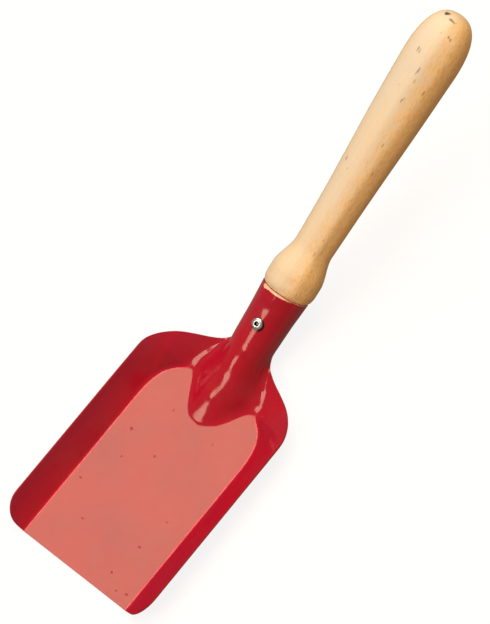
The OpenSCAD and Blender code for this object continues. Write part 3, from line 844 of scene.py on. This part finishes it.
    # single marks, drawn out along the grain where they are pores
    added = k["markWobble"] / 2  # what the noise adds to a distance on average
    for marks, long in ((k["endMarks"], 1), (k["pores"], k["poreLength"])):
        squeezed = addNode(tree, "ShaderNodeMapping", {"Scale": (1.0, 1.0, 1 / long)},
                           {"Vector": local})
        for (x, y, z), wide, depth in marks:
            away = addNode(tree, "ShaderNodeVectorMath",
                           {"operation": "DISTANCE", 1: (x * mm, y * mm, z * mm / long)},
                           {0: squeezed.outputs[0]})
            worn = addNode(tree, "ShaderNodeMath",
                           {"operation": "MULTIPLY_ADD", 1: k["markWobble"] * mm},
                           {0: ragged.outputs["Fac"], 2: away.outputs["Value"]})
            stain = addNode(tree, "ShaderNodeMapRange",
                            {"From Min": (wide + added) * mm,
                             "From Max": (wide / 2 + added) * mm, "To Max": depth},
                            {"Value": worn.outputs[0]})
            colour = addNode(tree, "ShaderNodeMix",
                             {"data_type": "RGBA", 7: hexColour(k["markTone"])},
                             {0: stain.outputs[0], 6: colour.outputs[2]})
    fine = addNode(tree, "ShaderNodeBump", {"Strength": 0.5, "Distance": k["fibreHeight"] * mm},
                   {"Height": fibre.outputs["Fac"]})
    pits = addNode(tree, "ShaderNodeBump",
                   {"Strength": 1.0, "Distance": k["poreDepth"] * mm, "invert": True},
                   {"Height": pore.outputs[0], "Normal": fine.outputs[0]})
    rough = addNode(tree, "ShaderNodeMapRange",
                    {"To Min": k["roughness"], "To Max": k["fibreRoughness"]},
                    {"Value": fibre.outputs["Fac"]})
    tree.links.new(colour.outputs[2], shader.inputs["Base Color"])
    tree.links.new(rough.outputs[0], shader.inputs["Roughness"])
    tree.links.new(pits.outputs[0], shader.inputs["Normal"])
    return material


rivetLook = {
    "head": "e6efff", "scratched": "d6e4f4", "smooth": 0.26, "rough": 0.4, "scratch": 0.3846,
    # the stem's near-black tones are painted shade in the bore, also on the head round its mouth
    "stem": "1b1918", "deepStem": "0e0d0c", "stemRoughness": 0.6, "grit": 0.25,
}


def polishedAluminium():
    # Drawn aluminium, polished by the setting tool: bright, with faint turning scratches
    k = rivetLook
    material, tree, shader, spot = startMaterial(
        "polishedAluminium", {"Metallic": 1.0, "Roughness": k["smooth"]})
    scratch = addNode(tree, "ShaderNodeTexNoise", {"Scale": perSize(k["scratch"]), "Detail": 2.0},
                      {"Vector": spot})
    rough = addNode(tree, "ShaderNodeMapRange", {"To Min": k["smooth"], "To Max": k["rough"]},
                    {"Value": scratch.outputs["Fac"]})
    tint = addNode(tree, "ShaderNodeMix",
                   {"data_type": "RGBA", 6: hexColour(k["head"]), 7: hexColour(k["scratched"])},
                   {0: scratch.outputs["Fac"]})
    tree.links.new(tint.outputs[2], shader.inputs["Base Color"])
    tree.links.new(rough.outputs[0], shader.inputs["Roughness"])
    return material


def brokenSteel():
    # The stem's broken end: steel painted near black, as shade deep in the rivet's bore
    k = rivetLook
    material, tree, shader, spot = startMaterial(
        "brokenSteelStem", {"Metallic": 1.0, "Roughness": k["stemRoughness"]})
    grit = addNode(tree, "ShaderNodeTexNoise", {"Scale": perSize(k["grit"]), "Detail": 3.0},
                   {"Vector": spot})
    tint = addNode(tree, "ShaderNodeMix",
                   {"data_type": "RGBA", 6: hexColour(k["stem"]), 7: hexColour(k["deepStem"])},
                   {0: grit.outputs["Fac"]})
    tree.links.new(tint.outputs[2], shader.inputs["Base Color"])
    return material


# Studio: floor, light and camera, in metres

studio = {
    "floorSize": 12.0, "paper": "696969", "glow": 0.86, "glossyShare": 0.1,
    "worldTint": "ffd9a8", "world": 0.54, "flagged": 0.42,
    # each lamp: direction from the pan, distance, width, height, radiance, tint
    "lamps": {
        "topSoftbox": ((-0.28, 0.41, 0.868), 1.4, 1.15, 1.2, 4.55, "fff4dc"),
        "stripSoftbox": ((-0.27, -0.545, 0.794), 1.4, 0.58, 0.6, 6.1, "ffebdc"),
    },
    "middle": (0.0, 0.05, 0.02),
}
cameraLook = {
    # the photograph's view: a point on the pan, the direction from it to the camera, and the lens
    "target": (-0.014469, 0.095125, 0.0008), "from": (0.297683, -0.17039, 0.939336),
    "distance": 1.5, "roll": 39.63, "lens": 205.44, "sensor": 36, "farthest": 30,
}


def placedBy(side, up, back, location):
    matrix = Matrix((side, up, back)).transposed().to_4x4()
    matrix.translation = location
    return matrix


def buildFloor():
    bm = bmesh.new()
    bmesh.ops.create_grid(bm, x_segments=8, y_segments=8, size=studio["floorSize"] / 2)
    mesh = bpy.data.meshes.new("studioFloor")
    bm.to_mesh(mesh)
    bm.free()
    floor = bpy.data.objects.new("studioFloor", mesh)
    bpy.context.scene.collection.objects.link(floor)
    # Matt background paper, which the camera sees as plain white and the gloss only faintly
    material = bpy.data.materials.new("palePaper")
    material.use_nodes = True
    tree = material.node_tree
    tree.nodes.clear()
    paper = addNode(tree, "ShaderNodeBsdfDiffuse", {"Color": hexColour(studio["paper"])})
    path = addNode(tree, "ShaderNodeLightPath")
    mirrored = addNode(tree, "ShaderNodeMath",
                       {"operation": "MULTIPLY", 1: studio["glossyShare"]},
                       {0: path.outputs["Is Glossy Ray"]})
    seen = addNode(tree, "ShaderNodeMath", {"operation": "MAXIMUM"},
                   {0: path.outputs["Is Camera Ray"], 1: mirrored.outputs[0]})
    seenToo = addNode(tree, "ShaderNodeMath", {"operation": "MAXIMUM"},
                      {0: seen.outputs[0], 1: path.outputs["Is Transmission Ray"]})
    glow = addNode(tree, "ShaderNodeMath", {"operation": "MULTIPLY", 1: studio["glow"]},
                   {0: seenToo.outputs[0]})
    emit = addNode(tree, "ShaderNodeEmission", links={"Strength": glow.outputs[0]})
    both = addNode(tree, "ShaderNodeAddShader", links={0: paper.outputs[0], 1: emit.outputs[0]})
    addNode(tree, "ShaderNodeOutputMaterial", links={"Surface": both.outputs[0]})
    mesh.materials.append(material)


def buildLamps():
    middle = Vector(studio["middle"])
    for name, (toward, distance, wide, high, radiance, tint) in studio["lamps"].items():
        lamp = bpy.data.lights.new(name, "AREA")
        lamp.shape = "RECTANGLE"
        lamp.size, lamp.size_y = wide, high
        lamp.energy = radiance * math.pi * wide * high
        lamp.color = hexColour(tint)[:3]
        holder = bpy.data.objects.new(name, lamp)
        bpy.context.scene.collection.objects.link(holder)
        holder.visible_camera = False
        back = Vector(toward).normalized()
        side = Vector((0, 0, 1)).cross(back).normalized()
        holder.matrix_world = placedBy(side, back.cross(side), back, middle + back * distance)
    world = bpy.data.worlds.new("studioWorld")
    world.use_nodes = True
    tree = world.node_tree
    room = tree.nodes["Background"]
    room.inputs["Color"].default_value = hexColour(studio["worldTint"])
    # dark flags round the set keep the room out of the enamel's reflections
    path = addNode(tree, "ShaderNodeLightPath")
    strength = addNode(tree, "ShaderNodeMapRange",
                       {"To Min": studio["world"], "To Max": studio["world"] * studio["flagged"]},
                       {"Value": path.outputs["Is Glossy Ray"]})
    tree.links.new(strength.outputs[0], room.inputs["Strength"])
    bpy.context.scene.world = world


def buildCamera():
    lens = bpy.data.cameras.new("photoCamera")
    lens.lens = cameraLook["lens"]
    lens.sensor_width = cameraLook["sensor"]
    lens.clip_end = cameraLook["farthest"]
    holder = bpy.data.objects.new("photoCamera", lens)
    bpy.context.scene.collection.objects.link(holder)
    back = Vector(cameraLook["from"]).normalized()
    up = (Vector((0, 1, 0)) - back * back.y).normalized()
    side = up.cross(back)
    roll = math.radians(cameraLook["roll"])
    rolledSide = side * math.cos(roll) + up * math.sin(roll)
    rolledUp = up * math.cos(roll) - side * math.sin(roll)
    holder.matrix_world = placedBy(rolledSide, rolledUp, back,
                                   Vector(cameraLook["target"]) + back * cameraLook["distance"])
    bpy.context.scene.camera = holder


buildCamera()
buildLamps()
buildFloor()
print("studio ready")
pressedSheet(stovedEnamel(), cutEdgeEnamel())
print("pan ready")
turnedHandle(varnishedBeech())
print("handle ready")
blindRivet(polishedAluminium(), brokenSteel())
print("rivet ready")

bpy.context.scene.view_settings.view_transform = "Standard"
